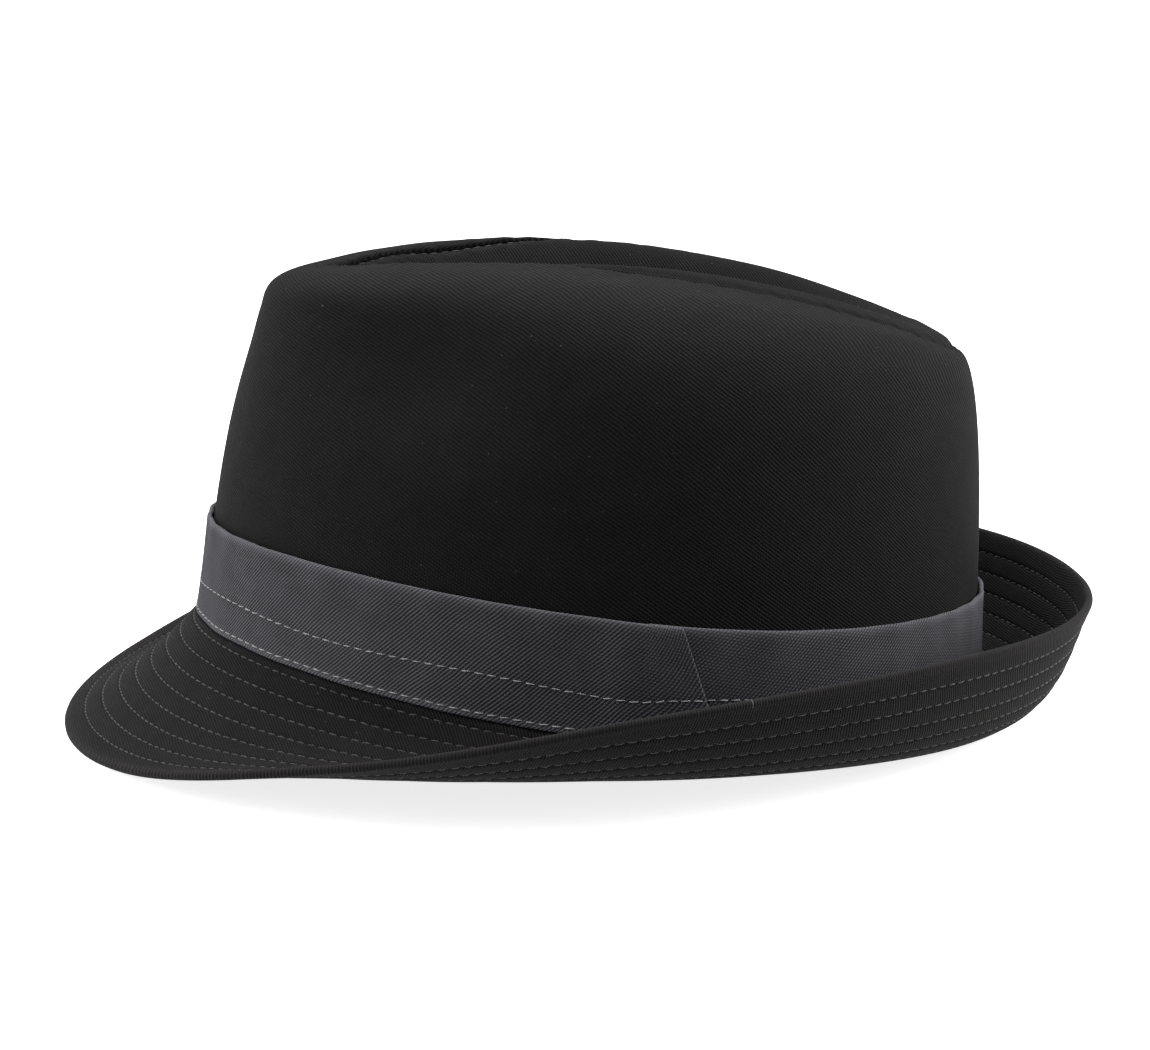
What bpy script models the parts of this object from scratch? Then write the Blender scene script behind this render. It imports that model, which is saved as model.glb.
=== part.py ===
"""A cut and sewn cotton trilby, in metres.

The hat is drawn in its own frame: the origin is the middle of the head opening, where the brim is sewn to
the crown, the front points to -Y and the wearer's left to +X. An empty carries the four pieces. It tips
the hat back, because the front of the brim dips, and lowers it until the brim presses into Z = 0.
"""

import math

import bmesh
import bpy
from mathutils import Vector

# Head opening, and the cloth that the hat is sewn from
HEAD_LENGTH = 0.199
HEAD_WIDTH = 0.159
CROWN_CLOTH = 0.0018
BAND_CLOTH = 0.0012
BRIM_CLOTH = 0.0020
GAP = 0.0003
SEAM_GAP = 0.0011

# Crown: heights are above the middle of the head opening
CROWN_HEIGHT = 0.1007
CROWN_FRONT_FALL = 0.0107
CROWN_REAR_FALL = 0.0126
CROWN_PEAK_FORWARD = 0.010
CROWN_REAR_CURVE = 2.4
ROOT_SADDLE = 0.0041
ROOT_FRONT_DIP = 0.0023
ROOT_FRONT_CURVE = 6
TIP_WIDTH = 0.062
TIP_FRONT_SETBACK = 0.0205
TIP_REAR_SETBACK = 0.0178
TIP_POINT = 0.35
TIP_PUFF = 0.0045

# Dents: the long one in the tip, and the pinch on each side at the front
DENT_DEPTH = 0.022
PINCH_DEPTH = 0.0085
PINCH_HEIGHT = 0.074
PINCH_BEHIND_FRONT = 0.039
PINCH_LENGTH = 0.027
PINCH_TALLNESS = 0.018

# Band: one strip, its end lapped over its start on the wearer's left
BAND_HEIGHT = 0.0285
BAND_HEIGHT_FRONT = 0.0254
BAND_LAP = 0.013
BAND_RAMP = 0.012
BAND_LAP_ANGLE = 99.5
BAND_LAP_SLANT = 0.0111

# Brim, and how the hat sits on what it rests on
BRIM_WIDTH = 0.046
HAT_TILT = 7.6
REST_PRESS = 0.0008

# Crown wall: height as a share of the wall's own height, then how far the wall has drawn in towards the
# tip's seam at the front, the sides and the rear, as shares of the whole way in
WALL_ROWS = (
    # height, front, side, rear
    (0.00, 0.00, 0.00, 0.00),
    (0.27, 0.01, 0.06, 0.18),
    (0.45, 0.04, 0.11, 0.29),
    (0.62, 0.09, 0.16, 0.41),
    (0.76, 0.15, 0.23, 0.53),
    (0.86, 0.21, 0.34, 0.64),
    (0.93, 0.31, 0.50, 0.75),
    (0.975, 0.60, 0.71, 0.86),
    (1.00, 1.00, 1.00, 1.00),
)

# Long dent: where along the crown, from its front wall to its rear wall, then half its width as a share
# of half the tip's width, and its depth as a share of the deepest
DENT_ROWS = (
    # along, half width, depth
    (0.09, 0.10, 0.00),
    (0.13, 0.32, 0.20),
    (0.18, 0.52, 0.45),
    (0.24, 0.76, 0.75),
    (0.31, 0.88, 0.93),
    (0.40, 0.90, 1.00),
    (0.50, 0.86, 1.00),
    (0.64, 0.80, 0.80),
    (0.76, 0.64, 0.40),
    (0.86, 0.40, 0.00),
)

# Brim: degrees round from the front, then its slope against the head opening at the root, halfway and
# at the rim, upwards positive, and its width as a share of the brim's width
BRIM_ROWS = (
    # around, root slope, middle slope, rim slope, width
    (0.0, -58.5, -44.8, -34.0, 0.96),
    (30.0, -62.3, -35.7, -14.0, 0.98),
    (60.0, -63.2, -2.1, 23.0, 1.005),
    (90.0, -35.0, 31.0, 55.0, 1.045),
    (120.0, -12.2, 50.6, 74.0, 1.007),
    (150.0, -10.0, 63.0, 72.0, 0.98),
    (180.0, -13.0, 69.5, 72.0, 0.955),
)

# How finely the surfaces are drawn
STATIONS = 72
WALL_RINGS = 13
WALL_CROWDING = 1.8
TIP_STRIPS = 14
BRIM_RINGS = 10
RIM_ROUND = 0.0007
SMALL_STEP = 0.002

BLACK_TWILL = (0.012, 0.011, 0.012)
GREY_TWILL = (0.075, 0.073, 0.085)


def through(rows, key, column):
    """A smooth value at key, from the table's column, through every row. The first column is the key."""
    last = len(rows) - 1
    key = min(max(key, rows[0][0]), rows[last][0])
    low = next(i for i in range(last) if key <= rows[i + 1][0])
    here, there = rows[low], rows[low + 1]
    span = there[0] - here[0]

    def slope(i):
        before, after = rows[max(i - 1, 0)], rows[min(i + 1, last)]
        return (after[column] - before[column]) / (after[0] - before[0])

    u = (key - here[0]) / span
    return (
        (2 * u**3 - 3 * u**2 + 1) * here[column]
        + (u**3 - 2 * u**2 + u) * span * slope(low)
        + (3 * u**2 - 2 * u**3) * there[column]
        + (u**3 - u**2) * span * slope(low + 1)
    )


def mirrored(rows):
    """The rows of one side, with a row added past each end so that the ends are level."""
    first, second, before_last, last = rows[0], rows[1], rows[-2], rows[-1]
    lead = (2 * first[0] - second[0], *second[1:])
    tail = (2 * last[0] - before_last[0], *before_last[1:])
    return (lead, *rows, tail)


def oval(t, grown):
    """A point round the head opening at angle t from the front, with the opening grown outwards."""
    return Vector(((HEAD_WIDTH / 2 + grown) * math.sin(t), -(HEAD_LENGTH / 2 + grown) * math.cos(t), 0.0))


def outwards(t):
    """The level direction away from the head opening at angle t."""
    return Vector((HEAD_LENGTH * math.sin(t), -HEAD_WIDTH * math.cos(t), 0.0)).normalized()


def root_height(t):
    """The line where the brim is sewn on: a shallow saddle, lower at the sides, that dips at the front."""
    dip = ROOT_FRONT_DIP * max(math.cos(t), 0.0) ** ROOT_FRONT_CURVE
    return -ROOT_SADDLE * math.sin(t) ** 2 - dip


def crown_ends():
    """Where the tip's seam ends at the front and at the rear, along the hat."""
    half = HEAD_LENGTH / 2 + CROWN_CLOTH
    return TIP_FRONT_SETBACK - half, half - TIP_REAR_SETBACK


def seam_height(y):
    """How high the tip's seam stands before the hat is creased: an arch along the hat."""
    front, rear = crown_ends()
    along = y + CROWN_PEAK_FORWARD
    if along > 0:
        return CROWN_HEIGHT - CROWN_REAR_FALL * (along / (rear + CROWN_PEAK_FORWARD)) ** CROWN_REAR_CURVE
    return CROWN_HEIGHT - CROWN_FRONT_FALL * (along / (front + CROWN_PEAK_FORWARD)) ** 2


def teardrop(t):
    """How far to the side the tip's seam lies at angle t: 1 where a round outline would be widest."""
    return math.sin(t) * math.sin(min(abs(t), 2 * math.pi - abs(t)) / 2) ** TIP_POINT


WIDEST = max(teardrop(math.radians(degree)) for degree in range(180))


def seam_point(t, inset=0.0):
    """The tip's seam before the hat is creased, drawn in by inset."""
    front, rear = crown_ends()
    half = (rear - front) / 2 - inset
    y = (front + rear) / 2 - half * math.cos(t)
    return Vector(((TIP_WIDTH / 2 - inset) * teardrop(t) / WIDEST, y, seam_height(y)))


def creased(point):
    """The point, moved as the long dent in the tip and the two pinches move it."""
    x, y, z = point
    crown_length = HEAD_LENGTH + 2 * CROWN_CLOTH
    along = y / crown_length + 0.5
    half = through(DENT_ROWS, along, 1) * TIP_WIDTH / 2
    across = min(abs(x) / half, 1.0)
    depth = max(through(DENT_ROWS, along, 2), 0.0) * DENT_DEPTH
    pinch_y = PINCH_BEHIND_FRONT - crown_length / 2
    away = ((y - pinch_y) / PINCH_LENGTH) ** 2 + ((z - PINCH_HEIGHT) / PINCH_TALLNESS) ** 2
    t = math.atan2(x / HEAD_WIDTH, -y / HEAD_LENGTH)
    pinched = point - outwards(t) * PINCH_DEPTH * math.exp(-away)
    return Vector((pinched.x, pinched.y, z - depth * (1 - across**2) ** 2))


def wall_height(t):
    """How tall the crown's wall stands at angle t, from the brim's root to the tip's seam."""
    return seam_point(t).z - root_height(t)


def wall_point(t, share):
    """The crown wall's outer face, at angle t and at a share of the way up to the tip's seam."""
    foot, seam = oval(t, CROWN_CLOTH), seam_point(t)
    end = math.cos(t) ** 2
    end_column = 1 if math.cos(t) > 0 else 3
    inwards = end * through(WALL_ROWS, share, end_column) + (1 - end) * through(WALL_ROWS, share, 2)
    flat = foot.lerp(seam, inwards)
    return creased(Vector((flat.x, flat.y, root_height(t) + wall_height(t) * share)))


def wall_normal(t, share):
    """Straight out of the wall's cloth at that place."""
    up = wall_point(t, share + SMALL_STEP) - wall_point(t, share - SMALL_STEP)
    side = wall_point(t + SMALL_STEP, share) - wall_point(t - SMALL_STEP, share)
    return side.cross(up).normalized()


def tip_point(t, share):
    """The tip's outer face: share runs from -1 at the seam on the right, through 0, to 1 on the left."""
    edge = seam_point(t, SEAM_GAP)
    puff = TIP_PUFF * teardrop(t) / WIDEST * (1 - share**2)
    return creased(Vector((edge.x * share, edge.y, edge.z + puff)))


def brim_line(t):
    """The brim's upper face at angle t, as points from the head opening out to the rim."""
    rows = mirrored(BRIM_ROWS)
    around = abs(math.degrees(math.atan2(math.sin(t), math.cos(t))))
    root, middle, rim, width = (through(rows, around, column) for column in (1, 2, 3, 4))
    lift = Vector((0.0, 0.0, root_height(t)))
    points = [oval(t, 0.0) + lift, oval(t, CROWN_CLOTH + GAP + BAND_CLOTH) + lift]
    for ring in range(BRIM_RINGS):
        s = (ring + 0.5) / BRIM_RINGS
        degrees = root * (1 - s) * (1 - 2 * s) + middle * 4 * s * (1 - s) + rim * s * (2 * s - 1)
        slope = math.radians(degrees)
        step = outwards(t) * math.cos(slope) + Vector((0.0, 0.0, math.sin(slope)))
        points.append(points[-1] + step * width * BRIM_WIDTH / BRIM_RINGS)
    return points


def turns():
    return [2 * math.pi * i / STATIONS for i in range(STATIONS)]


def cloth_piece(name, rows, closed, thickness, outer_face, material, hat):
    """A skin through rows of points, joined end to end if closed, and thickened to cloth.

    The rows' face is the cloth's outer face, or else its inner one.
    """
    bm = bmesh.new()
    rings = [[bm.verts.new(point) for point in row] for row in rows]
    for near, far in zip(rings, rings[1:]):
        for i in range(0 if closed else 1, len(near)):
            bm.faces.new((near[i - 1], near[i], far[i], far[i - 1]))
    bmesh.ops.remove_doubles(bm, verts=bm.verts, dist=1e-6)
    mesh = bpy.data.meshes.new(name)
    bm.to_mesh(mesh)
    bm.free()
    mesh.shade_smooth()
    mesh.materials.append(material)
    piece = bpy.data.objects.new(name, mesh)
    piece.parent = hat
    solidify = piece.modifiers.new("cloth", "SOLIDIFY")
    solidify.thickness = thickness
    solidify.offset = -1.0 if outer_face else 1.0
    solidify.use_even_offset = True
    solidify.use_quality_normals = True
    hat.users_collection[0].objects.link(piece)
    return piece


def make_crown_side(hat, material):
    """The crown's wall, from just above the brim's root up to the tip's seam."""
    shares = [1 - (1 - i / WALL_RINGS) ** WALL_CROWDING for i in range(WALL_RINGS + 1)]
    rows = [[wall_point(t, share) for t in turns()] for share in shares]
    rows[0] = [point + Vector((0.0, 0.0, GAP)) for point in rows[0]]
    return cloth_piece("crown_side", rows, True, CROWN_CLOTH, True, material, hat)


def make_crown_tip(hat, material):
    """The teardrop panel, in rows from seam to seam. Its first and last rows shrink to one point."""
    shares = [2 * i / TIP_STRIPS - 1 for i in range(TIP_STRIPS + 1)]
    half_turn = [math.pi * i / (STATIONS // 2) for i in range(STATIONS // 2 + 1)]
    rows = [[tip_point(t, share) for share in shares] for t in half_turn]
    return cloth_piece("crown_tip", rows, False, CROWN_CLOTH, True, material, hat)


def make_hat_band(hat, material):
    """One strip round the crown's foot. Its start lies on the wall, and its end laps over its start."""
    girth = math.pi * (HEAD_LENGTH + HEAD_WIDTH) / 2
    lap, ramp, slant = (2 * math.pi * length / girth for length in (BAND_LAP, BAND_RAMP, BAND_LAP_SLANT))
    stop = math.radians(BAND_LAP_ANGLE)
    start = stop - lap - 2 * math.pi
    places = [start + (stop - start) * i / STATIONS for i in range(STATIONS + 1)]
    places += [stop - lap - ramp * share for share in (0.0, 0.25, 0.5, 0.75, 1.0)]
    rows = []
    for height in (0.0, 0.25, 0.5, 0.75, 1.0):
        row = []
        for place in sorted(places):
            over = min(max((place - (stop - lap - ramp)) / ramp, 0.0), 1.0)
            end = max((place - (stop - lap)) / lap, 0.0)
            t = place + slant * (0.5 - height) * end
            tall = BAND_HEIGHT - (BAND_HEIGHT - BAND_HEIGHT_FRONT) * max(math.cos(t), 0.0) ** 2
            share = (GAP + (tall - GAP) * height) / wall_height(t)
            lift = GAP + (BAND_CLOTH + GAP) * over * over * (3 - 2 * over)
            row.append(wall_point(t, share) + wall_normal(t, share) * lift)
        rows.append(row)
    return cloth_piece("hat_band", rows, False, BAND_CLOTH, False, material, hat)


def make_brim(hat, material):
    """The brim, in rings from the rim in to the head opening, with its edges rounded."""
    rows = list(zip(*(brim_line(t) for t in turns())))
    brim = cloth_piece("brim", rows[::-1], True, BRIM_CLOTH, True, material, hat)
    rounding = brim.modifiers.new("turned edge", "BEVEL")
    rounding.width = RIM_ROUND
    rounding.segments = 1
    rounding.limit_method = "ANGLE"
    rounding.angle_limit = math.radians(60)
    return brim


def rest(hat, brim, cutters):
    """Tip the hat back, press its brim into Z = 0 with its box centred on Z, and flatten it there."""
    hat.rotation_euler.x = -math.radians(HAT_TILT)
    bpy.context.view_layer.update()
    evaluated = brim.evaluated_get(bpy.context.evaluated_depsgraph_get())
    corners = [evaluated.matrix_world @ vertex.co for vertex in evaluated.data.vertices]
    ahead, behind = min(point.y for point in corners), max(point.y for point in corners)
    hat.location = (0.0, -(ahead + behind) / 2, -min(point.z for point in corners) - REST_PRESS)
    bpy.ops.mesh.primitive_cube_add(size=1.0, location=(0.0, 0.0, -BRIM_WIDTH / 2))
    surface = bpy.context.object
    surface.name = "resting_surface"
    surface.scale = (3 * HEAD_LENGTH, 3 * HEAD_LENGTH, BRIM_WIDTH)
    surface.hide_render = True
    surface.display_type = "WIRE"
    for collection in list(surface.users_collection):
        collection.objects.unlink(surface)
    cutters.objects.link(surface)
    flat = brim.modifiers.new("flattened where it rests", "BOOLEAN")
    flat.operation = "DIFFERENCE"
    flat.solver = "EXACT"
    flat.object = surface


def cloth(name, colour, roughness):
    material = bpy.data.materials.new(name)
    material.diffuse_color = (*colour, 1.0)
    material.use_nodes = True
    shader = material.node_tree.nodes["Principled BSDF"]
    shader.inputs["Base Color"].default_value = (*colour, 1.0)
    shader.inputs["Roughness"].default_value = roughness
    shader.inputs["Metallic"].default_value = 0.0
    return material


def new_collection(name):
    collection = bpy.data.collections.new(name)
    bpy.context.scene.collection.children.link(collection)
    return collection


def main():
    for thing in list(bpy.data.objects):
        bpy.data.objects.remove(thing)
    hat = bpy.data.objects.new("hat", None)
    new_collection("trilby").objects.link(hat)
    make_crown_side(hat, cloth("wall twill", BLACK_TWILL, 0.85))
    make_crown_tip(hat, cloth("tip twill", BLACK_TWILL, 0.85))
    make_hat_band(hat, cloth("band twill", GREY_TWILL, 0.85))
    brim = make_brim(hat, cloth("brim twill", BLACK_TWILL, 0.85))
    rest(hat, brim, new_collection("cutters"))


main()
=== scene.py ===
"""The trilby's cloth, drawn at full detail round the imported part, and the stage that it is photographed on.

Lengths are in metres. The shape is worked out in the hat's own frame: its origin is the middle of the
head opening, the front points to -Y and the wearer's left to +X. Then the hat is tipped back and set down
on Z = 0.
"""

import math

import bpy
import numpy as np
from bpy.props import FloatProperty, FloatVectorProperty, IntProperty, PointerProperty
from bpy.types import Operator, Panel, PropertyGroup
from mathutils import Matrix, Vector


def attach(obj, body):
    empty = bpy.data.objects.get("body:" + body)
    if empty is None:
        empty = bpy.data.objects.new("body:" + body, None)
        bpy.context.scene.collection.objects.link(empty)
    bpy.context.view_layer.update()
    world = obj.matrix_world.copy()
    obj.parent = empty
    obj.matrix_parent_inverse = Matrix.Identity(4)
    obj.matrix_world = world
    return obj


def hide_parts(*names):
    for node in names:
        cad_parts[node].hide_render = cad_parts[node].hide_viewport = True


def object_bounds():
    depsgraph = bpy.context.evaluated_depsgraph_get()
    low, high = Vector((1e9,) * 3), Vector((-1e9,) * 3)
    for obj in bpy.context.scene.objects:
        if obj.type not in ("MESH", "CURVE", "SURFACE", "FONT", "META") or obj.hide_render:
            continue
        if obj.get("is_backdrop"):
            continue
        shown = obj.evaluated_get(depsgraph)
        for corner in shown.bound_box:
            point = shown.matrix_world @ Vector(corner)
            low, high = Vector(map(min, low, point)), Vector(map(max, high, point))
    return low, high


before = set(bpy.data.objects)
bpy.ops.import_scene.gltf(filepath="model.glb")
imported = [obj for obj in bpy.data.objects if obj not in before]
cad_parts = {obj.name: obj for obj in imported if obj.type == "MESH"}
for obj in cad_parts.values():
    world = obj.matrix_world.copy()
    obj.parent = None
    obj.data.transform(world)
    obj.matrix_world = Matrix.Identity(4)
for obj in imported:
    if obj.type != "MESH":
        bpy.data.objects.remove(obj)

bl_info = {
    "name": "Trilby",
    "version": (1, 0, 0),
    "blender": (4, 5, 0),
    "location": "3D View > Sidebar > Trilby",
    "description": "Builds a cut and sewn cotton trilby and the stage that it stands on",
    "category": "Add Mesh",
}

CAD_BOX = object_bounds()

# Crown wall: height as a share of the wall's own height, then how far the wall has drawn in towards the
# tip's seam at the front, the sides and the rear, as shares of the whole way in
WALL_ROWS = (
    (0.00, 0.00, 0.00, 0.00),
    (0.27, 0.01, 0.06, 0.18),
    (0.45, 0.04, 0.11, 0.29),
    (0.62, 0.09, 0.16, 0.41),
    (0.76, 0.15, 0.23, 0.53),
    (0.86, 0.21, 0.34, 0.64),
    (0.93, 0.31, 0.50, 0.75),
    (0.975, 0.60, 0.71, 0.86),
    (1.00, 1.00, 1.00, 1.00),
)

# Long dent: where along the crown, from its front wall to its rear wall, then half its width as a share
# of half the tip's width, and its depth as a share of the deepest
DENT_ROWS = (
    (0.09, 0.10, 0.00),
    (0.13, 0.32, 0.20),
    (0.18, 0.52, 0.45),
    (0.24, 0.76, 0.75),
    (0.31, 0.88, 0.93),
    (0.40, 0.90, 1.00),
    (0.50, 0.86, 1.00),
    (0.64, 0.80, 0.80),
    (0.76, 0.64, 0.40),
    (0.86, 0.40, 0.00),
)

# Brim: degrees round from the front, then its slope against the head opening at the root, halfway and
# at the rim, upwards positive, and its width as a share of the brim's width
BRIM_ROWS = (
    (0.0, -58.5, -44.8, -34.0, 0.96),
    (30.0, -62.3, -35.7, -14.0, 0.98),
    (60.0, -63.2, -2.1, 23.0, 1.005),
    (90.0, -35.0, 31.0, 55.0, 1.045),
    (120.0, -12.2, 50.6, 74.0, 1.007),
    (150.0, -10.0, 63.0, 72.0, 0.98),
    (180.0, -13.0, 69.5, 72.0, 0.955),
)

# Upper row of the band's stitches: degrees round from the front, then its height above the brim's root
# as a share of its usual height
UPPER_ROW = (
    (0.0, 0.82),
    (20.0, 0.98),
    (45.0, 0.95),
    (70.0, 1.10),
    (90.0, 1.00),
    (97.0, 1.12),
    (110.0, 1.20),
    (150.0, 1.05),
    (200.0, 0.95),
    (250.0, 1.06),
    (300.0, 0.98),
    (360.0, 0.82),
)

# Angles, in degrees, of the points that round off a turned edge
EDGE_ARC = (25.0, 55.0, 90.0, 125.0, 155.0)

# Rows of points beside each row of brim stitches, as shares of the distance between two rows
BESIDE_STITCHES = (-0.42, -0.27, -0.17, -0.10, -0.05, 0.0, 0.05, 0.10, 0.17, 0.27, 0.42)

# Rows of points past the last row of brim stitches, out to the rim, as shares of the same distance
TOWARDS_RIM = (0.42, 0.30, 0.20, 0.10, 0.0)

# Points of the band close to its two ends, as shares of the band cloth's thickness
BAND_END_POINTS = (0.0, 0.04, 0.12, 0.25, 0.45, 0.7)

# Powers of the curves along which the tip's seam and the brim's root fall away
CROWN_REAR_CURVE = 2.4
CROWN_FRONT_CURVE = 2
ROOT_FRONT_CURVE = 6

# Columns of points round the crown and round the brim
COLUMNS_ROUND = 480

# Half widths of the hollows that the rear seam, the tip's seam and the rows of stitches press in the cloth
REAR_SEAM_REACH = 0.0012
TIP_SEAM_REACH = 0.0016
PUCKER_REACH = 0.0045
BRIM_STITCH_REACH = 0.0005
BAND_STITCH_REACH = 0.0006

# How far from an edge the painted highlight along the cloth's rolled edges reaches
EDGE_HIGHLIGHT_REACH = 0.0012

# How far hand shaping leaves the crown's cloth uneven
UNEVENNESS = 0.0003

# Distance between two ribs of the black twill and of the grey twill
BLACK_RIB_PITCH = 0.00070
GREY_RIB_PITCH = 0.00078

# How far the cloth's ribs stand up, and the noise level from which a loose fibre shows
RIB_RELIEF = 0.00022
LINT_LEVEL = 0.755


def length(name, description, default):
    return FloatProperty(
        name=name, description=description, default=default, min=0.0, unit="LENGTH", precision=4
    )


def colour(name, description, default):
    return FloatVectorProperty(
        name=name, description=description, default=default, min=0.0, max=1.0, size=3, subtype="COLOR"
    )


def share(name, description, default):
    return FloatProperty(
        name=name, description=description, default=default, min=0.0, max=1.0, subtype="FACTOR"
    )


class TrilbySizes(PropertyGroup):
    """The sizes of the hat and of its sewing."""

    head_length: length("Head length", "Head opening, front to rear", 0.199)
    head_width: length("Head width", "Head opening, side to side", 0.159)
    crown_cloth: length("Crown cloth", "Thickness of the crown's cloth", 0.0018)
    band_cloth: length("Band cloth", "Thickness of the band's cloth", 0.0012)
    brim_cloth: length("Brim cloth", "Thickness of the brim, both its layers", 0.0020)
    clearance: length("Clearance", "Room left between one piece of cloth and the next", 0.0003)
    crown_height: length("Crown height", "Highest point of the tip's seam before it is creased", 0.1007)
    crown_front_fall: length("Front fall", "How much lower the tip's seam is at the front", 0.0107)
    crown_rear_fall: length("Rear fall", "How much lower the tip's seam is at the rear", 0.0126)
    crown_peak_forward: length("Peak forward", "How far the highest point lies ahead of the middle", 0.010)
    root_saddle: length("Root saddle", "How much lower the brim's root is at the sides", 0.0041)
    root_front_dip: length("Root front dip", "How much lower the brim's root is at the very front", 0.0023)
    tip_width: length("Tip width", "Widest part of the teardrop panel", 0.062)
    tip_front_setback: length(
        "Tip front setback", "From the crown's foot back to the tip's front end", 0.0205
    )
    tip_rear_setback: length("Tip rear setback", "From the crown's foot in to the tip's rear end", 0.0178)
    tip_point: share("Tip point", "How pointed the teardrop is at the front", 0.35)
    tip_puff: length("Tip puff", "How far the teardrop panel stands above its seam", 0.0045)
    seam_room: length("Seam room", "Width of the groove between the wall and the tip", 0.0006)
    dent_depth: length("Dent depth", "Depth of the long dent in the tip", 0.022)
    pinch_depth: length("Pinch depth", "Depth of the pinch on each side at the front", 0.0085)
    pinch_height: length("Pinch height", "Height of the pinch above the head opening", 0.074)
    pinch_behind_front: length("Pinch place", "From the crown's front back to the pinch", 0.039)
    pinch_length: length("Pinch length", "Half the length of the pinch", 0.027)
    pinch_tallness: length("Pinch tallness", "Half the height of the pinch", 0.018)
    band_height: length("Band height", "Height of the band at the sides and the rear", 0.0285)
    band_height_front: length("Band height, front", "Height of the band at the front", 0.0254)
    band_lap: length("Band lap", "How far the band's end lies over its start", 0.013)
    band_ramp: length("Band ramp", "Length over which the band rises on to its own start", 0.012)
    band_lap_slant: length("Lap slant", "How far the band's end leans", 0.0111)
    band_lap_angle: FloatProperty(
        name="Lap angle",
        description="Where the band ends, round from the front",
        default=math.radians(99.5),
        subtype="ANGLE",
    )
    brim_width: length("Brim width", "Width of the brim from the band to the rim", 0.046)
    tilt: FloatProperty(
        name="Tilt",
        description="How far the hat tips back where it stands",
        default=math.radians(7.6),
        subtype="ANGLE",
    )
    rest_press: length("Press", "How far the brim is pressed flat where it rests", 0.0008)
    stitch_length: length("Stitch length", "From one needle hole to the next", 0.0031)
    thread: length("Thread", "Thickness of the sewing thread", 0.00034)
    brim_row_pitch: length("Brim rows", "Distance between two rows of brim stitches", 0.0055)
    brim_rows: IntProperty(
        name="Number of brim rows", description="Rows of stitches round the brim", default=8, min=1
    )
    quilting: length("Quilting", "How deep the brim's stitches draw the cloth in", 0.00032)
    upper_row: length("Upper row", "Height of the band's upper row of stitches", 0.0100)
    lower_row: length("Lower row", "Height of the band's lower row of stitches", 0.0018)
    pucker: length("Pucker", "How far the seam draws the crown's cloth in and out", 0.00008)


class TrilbyColours(PropertyGroup):
    """The colours of the cloth and the thread."""

    # Each valley colour is the cloth's own dye darkened by painted shade in the hollows between the ribs
    crown_rib: colour("Crown rib", "Ribs of the crown's black twill", (0.0150, 0.0145, 0.0148))
    crown_valley_shade: colour("Crown valley", "Between the ribs of the crown's twill", (0.0035, 0.0034, 0.0035))
    brim_rib: colour("Brim rib", "Ribs of the brim's black twill", (0.0190, 0.0175, 0.0178))
    brim_valley_shade: colour("Brim valley", "Between the ribs of the brim's twill", (0.0045, 0.0040, 0.0042))
    band_rib: colour("Band rib", "Ribs of the band's grey twill", (0.120, 0.117, 0.130))
    band_valley_shade: colour("Band valley", "Between the ribs of the band's twill", (0.020, 0.0195, 0.023))
    band_thread: colour("Band thread", "Pale thread along the band", (0.42, 0.40, 0.41))
    brim_thread: colour("Brim thread", "Dark thread round the brim", (0.030, 0.028, 0.029))
    tip_thread: colour("Tip thread", "Thread in the tip's seam", (0.020, 0.019, 0.020))
    lint: colour("Lint", "Loose fibres caught in the cloth", (0.20, 0.19, 0.19))
    floor: colour("Floor", "The pale floor", (0.88, 0.88, 0.88))


def at(x, y, z):
    """Points from their three coordinates."""
    return np.stack(np.broadcast_arrays(x, y, z), axis=-1).astype(float)


def unit(vectors):
    return vectors / np.linalg.norm(vectors, axis=-1, keepdims=True)


def through(rows, key, column):
    """A smooth value at each key, from the table's column, through every row. The first column is the key."""
    table = np.array(rows)
    keys, values = table[:, 0], table[:, column]
    before = np.maximum(np.arange(len(keys)) - 1, 0)
    after = np.minimum(np.arange(len(keys)) + 1, len(keys) - 1)
    slopes = (values[after] - values[before]) / (keys[after] - keys[before])
    key = np.clip(key, keys[0], keys[-1])
    low = np.clip(np.searchsorted(keys, key) - 1, 0, len(keys) - 2)
    span = keys[low + 1] - keys[low]
    u = (key - keys[low]) / span
    return (
        (2 * u**3 - 3 * u**2 + 1) * values[low]
        + (u**3 - 2 * u**2 + u) * span * slopes[low]
        + (3 * u**2 - 2 * u**3) * values[low + 1]
        + (u**3 - u**2) * span * slopes[low + 1]
    )


def mirrored(rows):
    """The rows of one side, with a row added past each end so that the ends are level."""
    first, second, before_last, last = rows[0], rows[1], rows[-2], rows[-1]
    lead = (2 * first[0] - second[0], *second[1:])
    tail = (2 * last[0] - before_last[0], *before_last[1:])
    return (lead, *rows, tail)


def oval(hat, t, grown):
    """Points round the head opening at angle t from the front, with the opening grown outwards."""
    return at((hat.head_width / 2 + grown) * np.sin(t), -(hat.head_length / 2 + grown) * np.cos(t), 0.0)


def outwards(hat, t):
    """The level direction away from the head opening at angle t."""
    return unit(at(hat.head_length * np.sin(t), -hat.head_width * np.cos(t), 0.0))


def root_height(hat, t):
    """The line where the brim is sewn on: a shallow saddle, lower at the sides, that dips at the front."""
    dip = hat.root_front_dip * np.maximum(np.cos(t), 0.0) ** ROOT_FRONT_CURVE
    return -hat.root_saddle * np.sin(t) ** 2 - dip


def crown_ends(hat):
    """Where the tip's seam ends at the front and at the rear, along the hat."""
    half = hat.head_length / 2 + hat.crown_cloth
    return hat.tip_front_setback - half, half - hat.tip_rear_setback


def seam_height(hat, y):
    """How high the tip's seam stands before the hat is creased: an arch along the hat."""
    front, rear = crown_ends(hat)
    along = y + hat.crown_peak_forward
    past = np.maximum(along / (rear + hat.crown_peak_forward), 0.0)
    before = np.maximum(along / (front + hat.crown_peak_forward), 0.0)
    behind = hat.crown_rear_fall * past**CROWN_REAR_CURVE
    ahead = hat.crown_front_fall * before**CROWN_FRONT_CURVE
    return hat.crown_height - behind - ahead


def teardrop(hat, t):
    """How far to the side the tip's seam lies at angle t: 1 where a round outline would be widest."""
    t = np.mod(t, 2 * np.pi)
    return np.sin(t) * np.sin(np.minimum(t, 2 * np.pi - t) / 2) ** hat.tip_point


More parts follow.
